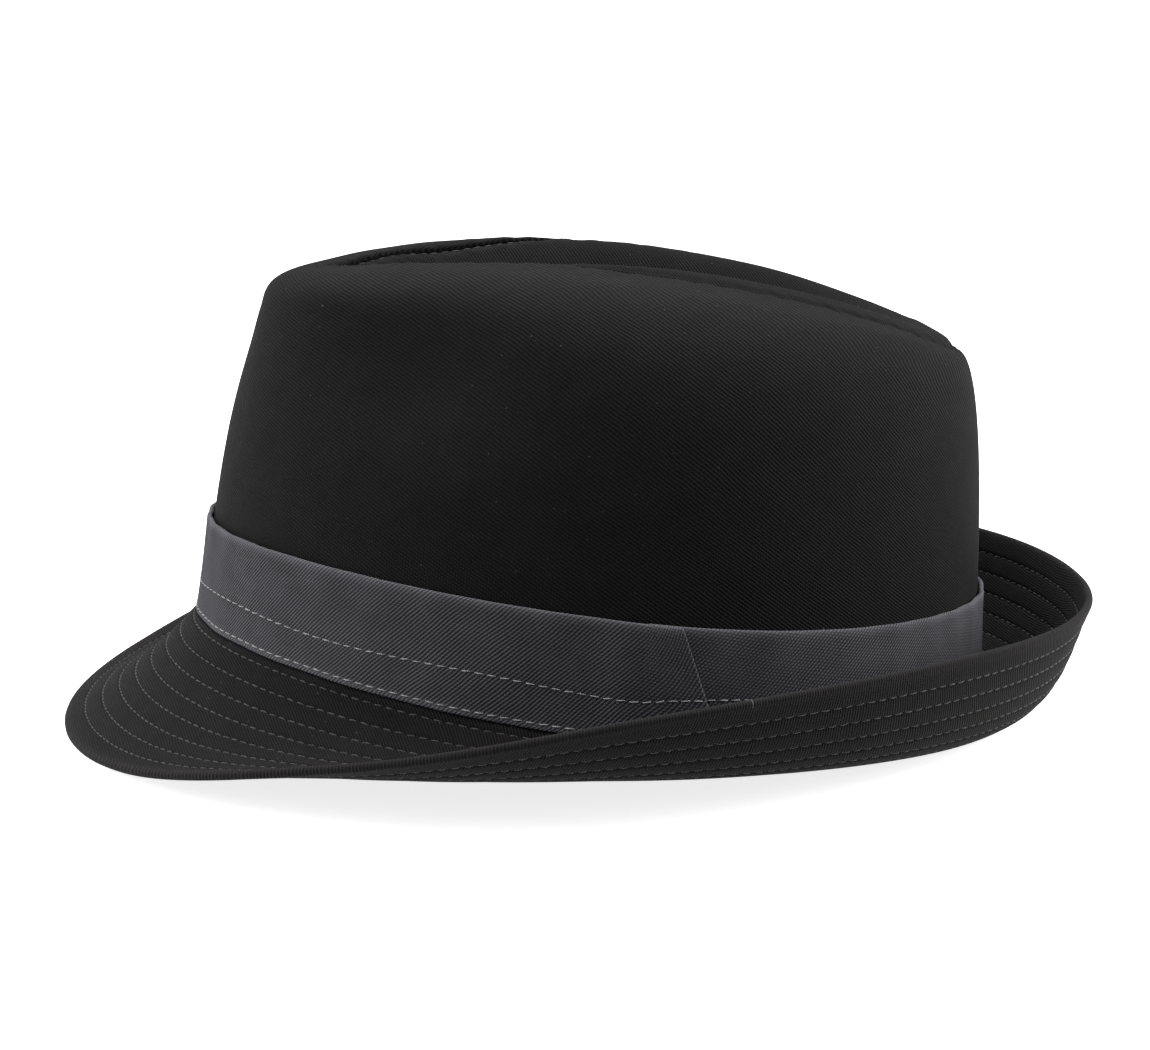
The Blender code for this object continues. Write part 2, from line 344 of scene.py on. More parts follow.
def half_tip(hat, t):
    """How far to the side the tip's seam lies at angle t, in metres."""
    widest = teardrop(hat, np.radians(np.arange(180))).max()
    return hat.tip_width / 2 * teardrop(hat, t) / widest


def seam_point(hat, t):
    """The tip's seam before the hat is creased."""
    front, rear = crown_ends(hat)
    y = (front + rear) / 2 - (rear - front) / 2 * np.cos(t)
    return at(half_tip(hat, t), y, seam_height(hat, y))


def creased(hat, points):
    """The points, moved as the long dent in the tip and the two pinches move them."""
    x, y, z = np.moveaxis(points, -1, 0)
    crown_length = hat.head_length + 2 * hat.crown_cloth
    along = y / crown_length + 0.5
    across = np.minimum(np.abs(x) / (through(DENT_ROWS, along, 1) * hat.tip_width / 2), 1.0)
    depth = np.maximum(through(DENT_ROWS, along, 2), 0.0) * hat.dent_depth
    pinch_y = hat.pinch_behind_front - crown_length / 2
    away = ((y - pinch_y) / hat.pinch_length) ** 2 + ((z - hat.pinch_height) / hat.pinch_tallness) ** 2
    t = np.arctan2(x / hat.head_width, -y / hat.head_length)
    moved = points - outwards(hat, t) * (hat.pinch_depth * np.exp(-away))[..., None]
    moved[..., 2] = z - depth * (1 - across**2) ** 2
    return moved


def wall_height(hat, t):
    """How tall the crown's wall stands at angle t, from the brim's root to the tip's seam."""
    return seam_point(hat, t)[..., 2] - root_height(hat, t)


def wall_point(hat, t, share):
    """The crown wall's outer face, at angle t and at a share of the way up to the tip's seam."""
    foot, seam = oval(hat, t, hat.crown_cloth), seam_point(hat, t)
    end = np.cos(t) ** 2
    at_end = np.where(np.cos(t) > 0, through(WALL_ROWS, share, 1), through(WALL_ROWS, share, 3))
    inwards = (end * at_end + (1 - end) * through(WALL_ROWS, share, 2))[..., None]
    flat = foot * (1 - inwards) + seam * inwards
    height = root_height(hat, t) + wall_height(hat, t) * share
    return creased(hat, at(flat[..., 0], flat[..., 1], height))


def wall_normal(hat, t, share):
    """Straight out of the wall's cloth at that place."""
    step = 0.002
    up = wall_point(hat, t, share + step) - wall_point(hat, t, share - step)
    side = wall_point(hat, t + step, share) - wall_point(hat, t - step, share)
    return unit(np.cross(side, up))


def tip_surface(hat, x, y):
    """The tip's outer face above a point of its outline."""
    front, rear = crown_ends(hat)
    t = np.arccos(np.clip(((front + rear) / 2 - y) / ((rear - front) / 2), -1.0, 1.0))
    side = half_tip(hat, t)
    share = np.clip(x / np.maximum(side, 1e-6), -1.0, 1.0)
    puff = hat.tip_puff * side / (hat.tip_width / 2) * (1 - share**2)
    return creased(hat, at(x, y, seam_height(hat, y) + puff))


def brim_lines(hat, t):
    """The brim's upper face at each angle t, as lines of points from the head opening out to the rim."""
    rings = 40
    rows = mirrored(BRIM_ROWS)
    around = np.abs(np.degrees(np.arctan2(np.sin(t), np.cos(t))))
    root, middle, rim, width = (through(rows, around, column)[:, None] for column in (1, 2, 3, 4))
    s = (np.arange(rings)[None, :] + 0.5) / rings
    slope = np.radians(root * (1 - s) * (1 - 2 * s) + middle * 4 * s * (1 - s) + rim * s * (2 * s - 1))
    step = outwards(hat, t)[:, None, :] * np.cos(slope)[..., None] + at(0.0, 0.0, np.sin(slope))
    steps = step * (width * hat.brim_width / rings)[..., None]
    lift = at(0.0, 0.0, root_height(hat, t))
    inner = oval(hat, t, 0.0) + lift
    outer = oval(hat, t, hat.crown_cloth + hat.clearance + hat.band_cloth) + lift
    return np.concatenate([inner[:, None], outer[:, None], outer[:, None] + np.cumsum(steps, axis=1)], axis=1)


def run_length(lines):
    """How far along its line each point lies."""
    steps = np.linalg.norm(np.diff(lines, axis=1), axis=-1)
    return np.concatenate([np.zeros((len(lines), 1)), np.cumsum(steps, axis=1)], axis=1)


def along_lines(lines, distances):
    """Points at the given distances along each line."""
    runs = run_length(lines)
    picked = [
        [np.interp(far, run, line[:, axis]) for axis in range(3)]
        for line, run, far in zip(lines, runs, distances)
    ]
    return np.moveaxis(np.array(picked), 1, -1)


def facing(grid, closed):
    """Straight out of a grid whose rows run round the hat, at each of its points."""
    if closed:
        side = np.roll(grid, -1, axis=0) - np.roll(grid, 1, axis=0)
    else:
        side = np.gradient(grid, axis=0)
    return unit(np.cross(side, np.gradient(grid, axis=1)))


def folded(middle, out, half, near_edge=True):
    """Loops round a sheet of cloth: outer face, rounded far edge, inner face and near edge."""
    half = np.broadcast_to(half, middle.shape[:-1])[..., None]
    along = unit(np.gradient(middle, axis=1))
    arc = np.radians(EDGE_ARC)[None, :, None]

    def edge(place, sign):
        turn = out[:, place, None] * np.cos(arc) + along[:, place, None] * np.sin(arc)
        return middle[:, place, None] + half[:, place, None] * turn * sign

    parts = [middle + out * half, edge(-1, 1), (middle - out * half)[:, ::-1]]
    return np.concatenate(parts + [edge(0, -1)] if near_edge else parts, axis=1)


def set_down(hat, points):
    """The points in the world: the hat tipped back, put down on Z = 0 and pressed flat where it rests."""
    tilt = hat.tilt
    tipped = at(
        points[..., 0],
        points[..., 1] * math.cos(tilt) + points[..., 2] * math.sin(tilt),
        points[..., 2] * math.cos(tilt) - points[..., 1] * math.sin(tilt),
    )
    return tipped + np.array(hat["standing_place"])


def find_standing_place(hat):
    """Centre the brim's box on Z, and press its lowest edge a little below Z = 0."""
    hat["standing_place"] = (0.0, 0.0, 0.0)
    t = np.linspace(0, 2 * np.pi, 720, endpoint=False)
    face = brim_lines(hat, t)
    under = set_down(hat, face + facing(face, True) * hat.brim_cloth)
    upper = set_down(hat, face)
    both = np.concatenate([under, upper], axis=1)
    middle = (both[..., 1].min() + both[..., 1].max()) / 2
    hat["standing_place"] = (0.0, -middle, -both[..., 2].min() - hat.rest_press)


def cloth_mesh(name, points, pattern, material, around=True, looped=True, centred=False, edge_highlight=None):
    """A closed mesh from rows of points, with its pattern places in metres.

    Rows join end to end when they go around, and each loop joins on itself when looped. An open strip is
    closed by its two end loops, and a centred disc by a point at the start and end of its rows.
    """
    count, width = points.shape[:2]
    rows = np.arange(count if around else count - 1)[:, None]
    cells = np.arange(width if looped else width - 1)[None, :]
    corners = [(rows, cells), (rows + 1, cells), (rows + 1, cells + 1), (rows, cells + 1)]
    quads = np.stack([(r % count) * width + c % width for r, c in corners], axis=-1).reshape(-1, 4)
    places = np.stack([pattern[tuple(np.broadcast_arrays(r, c))] for r, c in corners], axis=2)
    places = places.reshape(-1, 4, 2)
    vertices = points.reshape(-1, 3)
    faces, face_places = quads.tolist(), [places.reshape(-1, 2)]
    flat_pattern = pattern[:count, :width].reshape(-1, 2)
    extra = []
    if not around:
        half, arc = (width - 2 * len(EDGE_ARC)) // 2, len(EDGE_ARC)
        cap = [[j, j + 1, width - arc - 2 - j, width - arc - 1 - j] for j in range(half - 1)]
        cap.append(list(range(half - 1, half + arc + 1)))
        cap.append([width - arc - 1, *range(width - arc, width), 0])
        last = (count - 1) * width
        extra += [face[::-1] for face in cap] + [[last + j for j in face] for face in cap]
    if centred:
        middles = np.stack([vertices.reshape(count, width, 3)[:, end].mean(axis=0) for end in (0, -1)])
        first = len(vertices)
        vertices = np.concatenate([vertices, middles])
        flat_pattern = np.concatenate([flat_pattern, middles[:, :2]])
        for i in range(count):
            j = (i + 1) % count
            extra.append([first, j * width, i * width])
            extra.append([first + 1, i * width + width - 1, j * width + width - 1])
    faces += extra
    face_places += [flat_pattern[face] for face in extra]
    mesh = bpy.data.meshes.new(name)
    mesh.from_pydata(vertices.tolist(), [], faces)
    layer = mesh.uv_layers.new(name="cloth")
    layer.data.foreach_set("uv", np.concatenate(face_places).astype(np.float32).ravel())
    # Painted highlight: a point attribute that the cloth's material uses to lighten the cloth near its edges
    if edge_highlight is not None:
        flat_edge_highlight = np.zeros(len(vertices), np.float32)
        flat_edge_highlight[: count * width] = np.broadcast_to(edge_highlight, (count, width)).ravel()
        mesh.attributes.new("edge_highlight", "FLOAT", "POINT").data.foreach_set("value", flat_edge_highlight)
    return finished_piece(name, mesh, material)


def finished_piece(name, mesh, material):
    """The mesh as an object, facing out, smooth and in its material."""
    mesh.calc_loop_triangles()
    corners = np.array([v.co for v in mesh.vertices])[[list(t.vertices) for t in mesh.loop_triangles]]
    if np.linalg.det(corners).sum() < 0:
        mesh.flip_normals()
    mesh.shade_smooth()
    mesh.materials.append(material)
    piece = bpy.data.objects.new(name, mesh)
    bpy.context.scene.collection.objects.link(piece)
    return piece


def stitch_row(hat, line, out, start=0.0, rise=0.35, closed=True):
    """Stitches along a line of points: each an arc of thread that dips into the cloth at both ends."""
    if closed:
        line, out = np.concatenate([line, line[:1]]), np.concatenate([out, out[:1]])
    run = run_length(line[None])[0]
    count = max(int(round((run[-1] - start) / hat.stitch_length)), 1)
    pitch = (run[-1] - start) / count
    chance = np.random.default_rng(count)
    rings, sides = 6, 6
    x = np.linspace(-0.5, 0.5, rings)
    centres = start + (np.arange(count) + 0.5) * pitch
    places = centres[:, None] + x[None, :] * pitch * 0.86
    pick = lambda values: np.stack([np.interp(places, run, values[:, axis]) for axis in range(3)], axis=-1)
    middle, up = pick(line), unit(pick(out))
    ahead = unit(np.gradient(middle, axis=1))
    side = unit(np.cross(up, ahead))
    slant = hat.thread * chance.uniform(-0.25, 0.55, count)[:, None, None]
    arch = hat.thread * (rise * (1 - (2 * x) ** 2) - 0.75 * (2 * x) ** 4)
    middle = middle + up * arch[None, :, None] + side * slant * (2 * x)[None, :, None]
    thick = hat.thread / 2 * chance.uniform(0.88, 1.1, count)[:, None]
    thick = thick * (1 - 0.5 * np.abs(2 * x) ** 3)[None, :]
    turn = np.linspace(0, 2 * np.pi, sides, endpoint=False)
    spokes = up[:, :, None] * np.cos(turn)[:, None] + side[:, :, None] * np.sin(turn)[:, None]
    return middle[:, :, None] + spokes * thick[:, :, None, None]


def thread_mesh(hat, name, rows, material):
    """All the stitches of several rows as one mesh."""
    rings = np.concatenate([set_down(hat, row) for row in rows])
    rings[..., 2] += np.maximum(-rings[..., 2].min(axis=(1, 2)), 0.0)[:, None, None]
    stitches, lengths, sides = rings.shape[:3]
    first = np.arange(stitches)[:, None, None] * lengths * sides
    ring = np.arange(lengths - 1)[None, :, None] * sides
    side = np.arange(sides)[None, None, :]
    near = first + ring + side
    far = first + ring + (side + 1) % sides
    quads = np.stack([near, far, far + sides, near + sides], axis=-1).reshape(-1, 4)
    start = first[:, :, 0] + np.arange(sides)[None, ::-1]
    end = first[:, :, 0] + (lengths - 1) * sides + np.arange(sides)[None, :]
    faces = quads.tolist() + start.tolist() + end.tolist()
    mesh = bpy.data.meshes.new(name)
    mesh.from_pydata(rings.reshape(-1, 3).tolist(), [], faces)
    layer = mesh.uv_layers.new(name="cloth")
    along = np.broadcast_to(np.arange(lengths)[None, :, None] * hat.stitch_length / lengths, rings.shape[:3])
    across = np.broadcast_to(np.arange(sides)[None, None, :] * hat.thread, rings.shape[:3])
    places = np.stack([along, across], axis=-1).reshape(-1, 2)
    loops = np.zeros(len(mesh.loops), np.int32)
    mesh.loops.foreach_get("vertex_index", loops)
    layer.data.foreach_set("uv", places[loops].astype(np.float32).ravel())
    return finished_piece(name, mesh, material)


def crown_grid(hat):
    """The crown wall's outer face, evenly spaced up to the seam's groove, and its facing."""
    t = np.linspace(0, 2 * np.pi, COLUMNS_ROUND, endpoint=False)[:, None]
    share = 1 - (1 - np.linspace(0, 1, 160)[None, :]) ** 1.8
    lines = wall_point(hat, t, share)
    lines[:, 0, 2] += hat.clearance
    full = run_length(lines)[:, -1:] - hat.crown_cloth / 2 - hat.seam_room / 2
    spaced = np.concatenate([np.linspace(0, 0.8, 58), np.linspace(0.8, 1.0, 33)[1:]])
    grid = along_lines(lines, full * spaced[None, :])
    return t, spaced, full, grid


def seam_pucker(hat, t, below):
    """How the seam draws the cloth in and out, at angle t and at a distance from the seam."""
    wave = np.sin(61 * t + 2.0 * np.sin(3 * t)) + 0.7 * np.sin(97 * t + 1.0 + 3.0 * np.sin(2 * t))
    return hat.pucker * wave * np.exp(-((below / PUCKER_REACH) ** 2))


def soft_unevenness(x, y):
    """A slow unevenness of hand-shaped cloth, from -1 to 1, over about 30 mm."""
    return (
        np.sin(60 * x + 1.7 * np.sin(30 * y)) * np.sin(75 * y + 0.6)
        + 0.5 * np.sin(130 * x + 2.1 + 30 * y) * np.sin(110 * y + 1.9 * np.sin(40 * x))
    ) / 1.5


def make_crown_wall(hat, material):
    """The crown's wall, puckered where it is sewn to the tip, with its seam at the centre of the rear."""
    t, spaced, full, grid = crown_grid(hat)
    out = facing(grid, True)
    below = full * (1 - spaced[None, :])
    girth = hat.head_length / 2 * t
    bulge = UNEVENNESS * soft_unevenness(girth, full * spaced[None, :])
    bulge = bulge * np.clip(spaced[None, :] * 3 - 1, 0, 1)
    rear_seam = np.abs(np.arctan2(np.sin(t - np.pi), np.cos(t - np.pi))) * hat.head_length / 2
    bulge = bulge - 0.0004 * np.exp(-((rear_seam / REAR_SEAM_REACH) ** 2)) + seam_pucker(hat, t, below)
    outer = grid + out * bulge[..., None]
    loops = folded(outer - out * hat.crown_cloth / 2, out, hat.crown_cloth / 2)
    whole = np.concatenate([loops, loops[:1]])
    across = np.linalg.norm(np.diff(whole, axis=0), axis=-1)
    u = np.concatenate([np.zeros((1, whole.shape[1])), np.cumsum(across, axis=0)])
    v = run_length(np.concatenate([loops, loops[:, :1]], axis=1)).mean(axis=0)
    u = np.concatenate([u, u[:, :1]], axis=1)
    pattern = np.stack(np.broadcast_arrays(u, v[None, :]), axis=-1)
    return cloth_mesh("crown_wall", set_down(hat, loops), pattern, material)


def make_tip_panel(hat, material):
    """The teardrop panel, rolled down at its edge into the seam's groove."""
    t = np.linspace(0, 2 * np.pi, COLUMNS_ROUND, endpoint=False)[:, None]
    front, rear = crown_ends(hat)
    rings = np.linspace(0.02, 1.0, 70)[None, :]
    x = rings * half_tip(hat, t)
    y = (front + rear) / 2 - rings * (rear - front) / 2 * np.cos(t)
    lines = tip_surface(hat, x, y)
    full = run_length(lines)[:, -1:] - hat.crown_cloth / 2 - hat.seam_room / 2
    spaced = np.concatenate([np.linspace(0, 0.7, 34), np.linspace(0.7, 1.0, 25)[1:]])[None, :]
    grid = along_lines(lines, full * spaced)
    out = -facing(grid, True)
    below = full * (1 - spaced)
    bulge = seam_pucker(hat, t + 0.4, below) - 0.0006 * np.exp(-((below / TIP_SEAM_REACH) ** 2))
    uneven = UNEVENNESS * soft_unevenness(grid[..., 0], grid[..., 1])
    bulge = bulge + uneven * np.clip(below / 0.008, 0, 1)
    outer = grid + out * bulge[..., None]
    loops = folded(outer - out * hat.crown_cloth / 2, out, hat.crown_cloth / 2, near_edge=False)
    pattern = np.concatenate([loops, loops[:1]])[..., :2]
    return cloth_mesh("tip_panel", set_down(hat, loops), pattern, material, looped=False, centred=True)


def brim_grid(hat):
    """The brim's middle layer, the facing of its upper side, and half its thickness drawn in at each row."""
    t = np.linspace(0, 2 * np.pi, COLUMNS_ROUND, endpoint=False)
    lines = brim_lines(hat, t)
    half = hat.brim_cloth / 2
    ledge = hat.crown_cloth + hat.clearance + hat.band_cloth
    reach = hat.brim_width + ledge
    rows = reach - hat.brim_row_pitch * np.arange(1, hat.brim_rows + 1)
    beside = (rows[:, None] + hat.brim_row_pitch * np.array(BESIDE_STITCHES)[None, :]).ravel()
    rim = reach - hat.brim_row_pitch * np.array(TOWARDS_RIM)
    spaced = np.unique(np.round(np.concatenate([[0.0], beside, rim]), 7))
    spaced = spaced[spaced >= 0.0]
    full = run_length(lines)[:, -1:] - half
    grid = along_lines(lines, full * spaced[None, :] / reach)
    up = -facing(grid, True)
    off_row = np.abs(spaced[:, None] - rows[None, :]).min(axis=1)
    drawn = np.exp(-((off_row / BRIM_STITCH_REACH) ** 2))
    between = np.clip(off_row / hat.brim_row_pitch * 2, 0, 1)
    thick = half - hat.quilting * drawn + 0.00008 * between
    return t, spaced, rows, grid - up * half, up, thick


def make_brim_cloth(hat, material):
    """The brim, quilted by its rows of stitches, flattened where it rests."""
    t, spaced, rows, middle, up, thick = brim_grid(hat)
    loops = folded(middle, up, thick[None, :])
    placed = set_down(hat, loops)
    placed[..., 2] = np.maximum(placed[..., 2], 0.0)
    arc = len(EDGE_ARC)
    outward = np.concatenate([spaced, [spaced[-1]] * arc, spaced[::-1], [0.0] * arc, [0.0]])
    radius = (hat.head_length + hat.head_width) / 4 + outward
    turn = np.append(t, 2 * np.pi)[:, None]
    pattern = np.stack([radius * np.sin(turn), -radius * np.cos(turn)], axis=-1)
    # Painted highlight along the brim's rim, where light catches the rolled edge
    edge_highlight = np.exp(-(((outward[:-1] - spaced[-1]) / EDGE_HIGHLIGHT_REACH) ** 2))
    return cloth_mesh("brim_cloth", placed, pattern, material, edge_highlight=edge_highlight[None, :])


def make_brim_stitches(hat, material):
    """Rows of stitches round the brim, on its upper side and on its under side."""
    t, spaced, rows, middle, up, thick = brim_grid(hat)
    for name, sign in (("brim_stitches_upper", 1.0), ("brim_stitches_under", -1.0)):
        sewn = []
        for number, row in enumerate(rows):
            place = int(np.abs(spaced - row).argmin())
            line = middle[:, place] + sign * up[:, place] * thick[place]
            shift = (number * 7) % 13
            line = np.roll(line, -shift, axis=0)
            sewn.append(stitch_row(hat, line, np.roll(sign * up[:, place], -shift, axis=0)))
        yield thread_mesh(hat, name, sewn, material)


def band_places(hat):
    """Angles round the band from its start to its end, close together where it laps over itself."""
    girth = math.pi * (hat.head_length + hat.head_width) / 2
    sizes = (hat.band_lap, hat.band_ramp, hat.band_lap_slant)
    lap, ramp, slant = (2 * math.pi * size / girth for size in sizes)
    stop = hat.band_lap_angle
    start = stop - lap - 2 * math.pi
    fine = 2 * math.pi * hat.band_cloth / girth
    edge = fine * np.array(BAND_END_POINTS)
    inner = np.linspace(start + fine, stop - lap - ramp, 560)
    lapped = np.linspace(inner[-1], stop - fine, 60)[1:]
    places = np.concatenate([start + edge, inner, lapped, (stop - edge)[::-1]])
    return places, start, stop, lap, ramp, slant, girth


def band_grid(hat):
    """The band's middle layer, its facing, and half its thickness."""
    places, start, stop, lap, ramp, slant, girth = band_places(hat)
    place = places[:, None]
    heights = np.linspace(0, 1, 41)[None, :]
    over = np.clip((place - (stop - lap - ramp)) / ramp, 0.0, 1.0)
    end = np.maximum((place - (stop - lap)) / lap, 0.0)
    t = place + slant * (0.5 - heights) * end
    tall = hat.band_height - (hat.band_height - hat.band_height_front) * np.maximum(np.cos(t), 0.0) ** 2
    fold = hat.band_cloth / 2
    up = hat.clearance + fold + (tall - hat.clearance - 2 * fold) * heights
    share = up / wall_height(hat, t)
    lift = hat.clearance + (hat.band_cloth + hat.clearance) * over * over * (3 - 2 * over)
    top_wave = 0.00018 * (1 + np.sin(37 * t + 2 * np.sin(5 * t))) * heights**3
    wave = top_wave + 0.0002 * (1 + np.sin(23 * t)) * (1 - heights) ** 3
    upper = hat.upper_row * through(UPPER_ROW, np.degrees(np.mod(t, 2 * np.pi)), 1)
    sewn = sum(np.exp(-(((up - row) / BAND_STITCH_REACH) ** 2)) for row in (upper, hat.lower_row))
    out = wall_normal(hat, t, share)
    from_end = np.minimum(place - start, stop - place) / (2 * math.pi) * girth / (hat.band_cloth / 2)
    taper = np.sqrt(np.clip(1 - (1 - np.clip(from_end, 0, 1)) ** 2, 0.02, 1.0))
    middle = wall_point(hat, t, share) + out * (lift + fold + wave)[..., None]
    thick = (fold - 0.0001 * sewn) * taper
    return places, heights, up, middle, out, thick, girth, upper


def make_band_cloth(hat, material):
    """The grey band, folded at its edges and lapped over itself on the wearer's left."""
    places, heights, up, middle, out, thick, girth, upper = band_grid(hat)
    loops = folded(middle, out, thick)
    arc = len(EDGE_ARC)
    u = (places * girth / (2 * math.pi))[:, None]
    high = heights[0] * hat.band_height
    far_edge = high[-1] + np.arange(1, arc + 1) * 0.0003
    v = np.concatenate([high, far_edge, high[-1] + 0.002 + (high[-1] - high[::-1])])
    v = np.concatenate([v, v[-1] + np.arange(1, arc + 2) * 0.0003])[None, :]
    pattern = np.stack(np.broadcast_arrays(u, v), axis=-1)
    # Painted highlight along the band's two edges and all round its folded edges
    edges = sum(np.exp(-((way * hat.band_height / EDGE_HIGHLIGHT_REACH) ** 2)) for way in (heights[0], 1 - heights[0]))
    edge_highlight = np.concatenate([edges, np.ones(arc), edges[::-1], np.ones(arc)])[None, :]
    return cloth_mesh("band_cloth", set_down(hat, loops), pattern, material, around=False, edge_highlight=edge_highlight)


def make_band_stitches(hat, material):
    """Two rows of pale stitches round the band."""
    places, heights, up, middle, out, thick, girth, upper = band_grid(hat)
    face = middle + out * thick[..., None]
    sewn = []
    for rows in (upper[:, 10], np.full(len(places), hat.lower_row)):
        line = [
            [np.interp(row, high, points[:, axis]) for axis in range(3)]
            for row, high, points in zip(rows, up, face)
        ]
        line = np.array(line)
        facing_out = out[:, int(np.abs(up[0] - rows.mean()).argmin())]
        sewn.append(stitch_row(hat, line[4:-4], facing_out[4:-4], closed=False, rise=0.5))
    return thread_mesh(hat, "band_stitches", sewn, material)


def make_tip_stitches(hat, material):
    """The thread that shows in the groove of the tip's seam."""
    t = np.linspace(0, 2 * np.pi, 720, endpoint=False)
    line = creased(hat, seam_point(hat, t))
    sideways = unit(line - at(0.0, line[:, 1].mean(), line[:, 2]))
    out = unit(at(0.0, 0.0, 1.0) + 0.2 * sideways)
    line = line - out * hat.crown_cloth * 0.55
    return thread_mesh(hat, "tip_stitches", [stitch_row(hat, line, out, rise=0.1)], material)


class Nodes:
    """Adds shader nodes: inputs are given by name, as values or as another node's output."""

    def __init__(self, name):
        self.material = bpy.data.materials.new(name)
        self.material.use_nodes = True
        self.tree = self.material.node_tree
        self.shader = self.tree.nodes["Principled BSDF"]

    def link(self, value, socket):
        if isinstance(value, bpy.types.NodeSocket):
            self.tree.links.new(value, socket)
        else:
            socket.default_value = value

    def add(self, kind, settings=None, **inputs):
        node = self.tree.nodes.new(kind)
        for key, value in (settings or {}).items():
            setattr(node, key, value)
        for key, value in inputs.items():
            self.link(value, node.inputs[key.replace("_", " ")])
        return node.outputs[0]

    def math(self, operation, *values):
        node = self.tree.nodes.new("ShaderNodeMath")
        node.operation = operation
        for value, socket in zip(values, node.inputs):
            self.link(value, socket)
        return node.outputs[0]

    def noise(self, place, scale, detail=2.0):
        return self.add("ShaderNodeTexNoise", Vector=place, Scale=scale, Detail=detail)

    def mix(self, factor, first, second, blend="MIX"):
        node = self.tree.nodes.new("ShaderNodeMix")
        node.data_type = "RGBA"
        node.blend_type = blend
        self.link(factor, node.inputs[0])
        self.link(first, node.inputs[6])
        self.link(second, node.inputs[7])
        return node.outputs[2]

    def stepped(self, value, low, high):
        node = self.tree.nodes.new("ShaderNodeMapRange")
        node.interpolation_type = "SMOOTHSTEP"
        self.link(value, node.inputs["Value"])
        self.link(low, node.inputs["From Min"])
        self.link(high, node.inputs["From Max"])
        return node.outputs[0]


def rgba(values):
    return (*values, 1.0)


def twill(name, rib, valley_shade, lint, pitch, slant, sheen=0.03, sheen_tint=(1.0, 1.0, 1.0)):
    """Cotton twill: diagonal ribs of short floats, mottled dye, loose fibres, painted shade in the hollows
    between the ribs and a painted highlight along the edges.
    """
    n = Nodes(name)
    place = n.add("ShaderNodeUVMap", {"uv_map": "cloth"})
    spread = n.math("MULTIPLY", n.math("SUBTRACT", n.noise(place, 70.0), 0.5), 1.6)
    angle = -math.radians(slant)
    turned = n.add("ShaderNodeVectorRotate", {"rotation_type": "Z_AXIS"}, Vector=place, Angle=angle)
    split = n.tree.nodes.new("ShaderNodeSeparateXYZ")
    n.link(turned, split.inputs[0])
    across = n.math("ADD", n.math("DIVIDE", split.outputs["Y"], pitch), spread)
    along = n.math("DIVIDE", split.outputs["X"], pitch * 1.15)
    along = n.math("ADD", along, n.math("MULTIPLY", across, 0.5))
    ribs = n.math("MULTIPLY_ADD", n.math("SINE", n.math("MULTIPLY", across, 2 * math.pi)), 0.5, 0.5)
    floats = n.math("MULTIPLY_ADD", n.math("SINE", n.math("MULTIPLY", along, 2 * math.pi)), 0.5, 0.5)
    fibre = n.noise(place, 2600.0, 3.0)
    height = n.math("MULTIPLY", ribs, n.math("MULTIPLY_ADD", floats, 0.45, 0.62))
    height = n.math("ADD", height, n.math("MULTIPLY", fibre, 0.55))
    # Painted shade: the lower the weave's height, the nearer its colour comes to the darker valley colour
    tone = n.stepped(height, 0.18, 1.25)
    base = n.mix(tone, rgba(valley_shade), rgba(rib))
    mottle = n.math("MULTIPLY_ADD", n.noise(place, 130.0, 4.0), 0.7, 0.66)
    grey = n.add("ShaderNodeCombineColor", Red=mottle, Green=mottle, Blue=mottle)
    base = n.mix(1.0, base, grey, "MULTIPLY")
    # Painted highlight: near its edges the cloth is mixed towards a lighter rib colour, where light catches
    # the rolled edge
    highlight_attribute = n.tree.nodes.new("ShaderNodeAttribute")
    highlight_attribute.attribute_name = "edge_highlight"
    edge_highlight = highlight_attribute.outputs["Fac"]
    base = n.mix(n.math("MULTIPLY", edge_highlight, 0.16), base, rgba([min(value * 3.0, 1.0) for value in rib]))
    specks = n.stepped(n.noise(place, 1150.0, 1.0), LINT_LEVEL, LINT_LEVEL + 0.07)
    base = n.mix(n.math("MULTIPLY", specks, 0.5), base, rgba(lint))
    n.link(base, n.shader.inputs["Base Color"])
    n.link(n.math("MULTIPLY_ADD", fibre, -0.12, 0.93), n.shader.inputs["Roughness"])
    bump = n.tree.nodes.new("ShaderNodeBump")
    bump.inputs["Distance"].default_value = RIB_RELIEF
    bump.inputs["Strength"].default_value = 0.8
    n.link(height, bump.inputs["Height"])
    n.link(bump.outputs[0], n.shader.inputs["Normal"])
    n.shader.inputs["Sheen Weight"].default_value = sheen
    n.shader.inputs["Sheen Roughness"].default_value = 0.45
    n.shader.inputs["Sheen Tint"].default_value = rgba(sheen_tint)
    n.shader.inputs["Specular IOR Level"].default_value = 0.08
    return n.material


def thread(name, dye, shine):
    """Two-ply sewing thread: a slanting twist, with shade that varies from stitch to stitch."""
    n = Nodes(name)
    place = n.add("ShaderNodeUVMap", {"uv_map": "cloth"})
    split = n.tree.nodes.new("ShaderNodeSeparateXYZ")
    n.link(place, split.inputs[0])
    lengthwise = n.math("MULTIPLY", split.outputs["X"], 5200.0)
    twist = n.math("ADD", lengthwise, n.math("MULTIPLY", split.outputs["Y"], 3100.0))
    ply = n.math("MULTIPLY_ADD", n.math("SINE", n.math("MULTIPLY", twist, 2.0)), 0.5, 0.5)
    world = n.tree.nodes.new("ShaderNodeTexCoord").outputs["Object"]
    shade = n.math("MULTIPLY_ADD", n.noise(world, 320.0, 2.0), 0.9, 0.55)
    base = n.mix(n.math("MULTIPLY", ply, 0.5), rgba(dye), rgba([value * 0.45 for value in dye]))
    grey = n.add("ShaderNodeCombineColor", Red=shade, Green=shade, Blue=shade)
    base = n.mix(1.0, base, grey, "MULTIPLY")
    n.link(base, n.shader.inputs["Base Color"])
    n.shader.inputs["Roughness"].default_value = shine
    bump = n.tree.nodes.new("ShaderNodeBump")
    bump.inputs["Distance"].default_value = 0.00006
    n.link(ply, bump.inputs["Height"])
    n.link(bump.outputs[0], n.shader.inputs["Normal"])
    n.shader.inputs["Sheen Weight"].default_value = 0.3
    return n.material


def place_piece(piece, node):
    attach(piece, "root")
    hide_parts(node)


